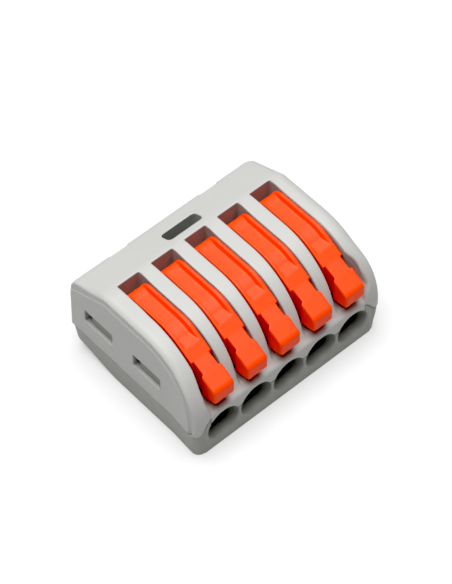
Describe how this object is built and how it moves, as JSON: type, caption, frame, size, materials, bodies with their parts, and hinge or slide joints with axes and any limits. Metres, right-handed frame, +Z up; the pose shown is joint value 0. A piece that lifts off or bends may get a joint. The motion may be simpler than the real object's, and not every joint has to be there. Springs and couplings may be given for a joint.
{
  "type": "lever wire connector",
  "caption": "Compact splicing connector with a row of snap-down levers over round wire entries; each lever opens a cage-clamp spring on a shared current bar.",
  "frame": {"origin": "centre of the bounding box's underside, on the surface the connector stands on", "axes": "+X across the poles, +Y from the wire entries at the front towards the rear wall, +Z up through the levers"},
  "size_m": [0.0286, 0.0224, 0.0145],
  "materials": {
    "housing_plastic": "light grey moulded polyamide with a fine satin grain",
    "base_plastic": "dark warm grey moulded polyamide with a fine satin grain",
    "lever_plastic": "orange moulded polyamide, satin",
    "tinned_copper": "tin plated copper, satin, with faint rolling lines",
    "spring_steel": "bright stainless spring strip with faint rolling lines"
  },
  "bodies": {
    "connector": {"top_housing": "housing_plastic", "base_cover": "base_plastic", "current_bar": "tinned_copper", "clamp_spring_1": "spring_steel", "clamp_spring_2": "spring_steel", "clamp_spring_3": "spring_steel", "clamp_spring_4": "spring_steel", "clamp_spring_5": "spring_steel"},
    "lever_1": {"lever_1": "lever_plastic"},
    "lever_2": {"lever_2": "lever_plastic"},
    "lever_3": {"lever_3": "lever_plastic"},
    "lever_4": {"lever_4": "lever_plastic"},
    "lever_5": {"lever_5": "lever_plastic"}
  },
  "joints": [
    {"name": "lever_1_hinge", "type": "hinge", "parent": "connector", "child": "lever_1", "pos_m": [-0.0101, 0.0015, 0.0111], "axis": [-1, 0, 0], "range_deg": [0, 90], "deforming": ["clamp_spring_1"]},
    {"name": "lever_2_hinge", "type": "hinge", "parent": "connector", "child": "lever_2", "pos_m": [-0.00505, 0.0015, 0.0111], "axis": [-1, 0, 0], "range_deg": [0, 90], "deforming": ["clamp_spring_2"]},
    {"name": "lever_3_hinge", "type": "hinge", "parent": "connector", "child": "lever_3", "pos_m": [0, 0.0015, 0.0111], "axis": [-1, 0, 0], "range_deg": [0, 90], "deforming": ["clamp_spring_3"]},
    {"name": "lever_4_hinge", "type": "hinge", "parent": "connector", "child": "lever_4", "pos_m": [0.00505, 0.0015, 0.0111], "axis": [-1, 0, 0], "range_deg": [0, 90], "deforming": ["clamp_spring_4"]},
    {"name": "lever_5_hinge", "type": "hinge", "parent": "connector", "child": "lever_5", "pos_m": [0.0101, 0.0015, 0.0111], "axis": [-1, 0, 0], "range_deg": [0, 90], "deforming": ["clamp_spring_5"]}
  ]
}
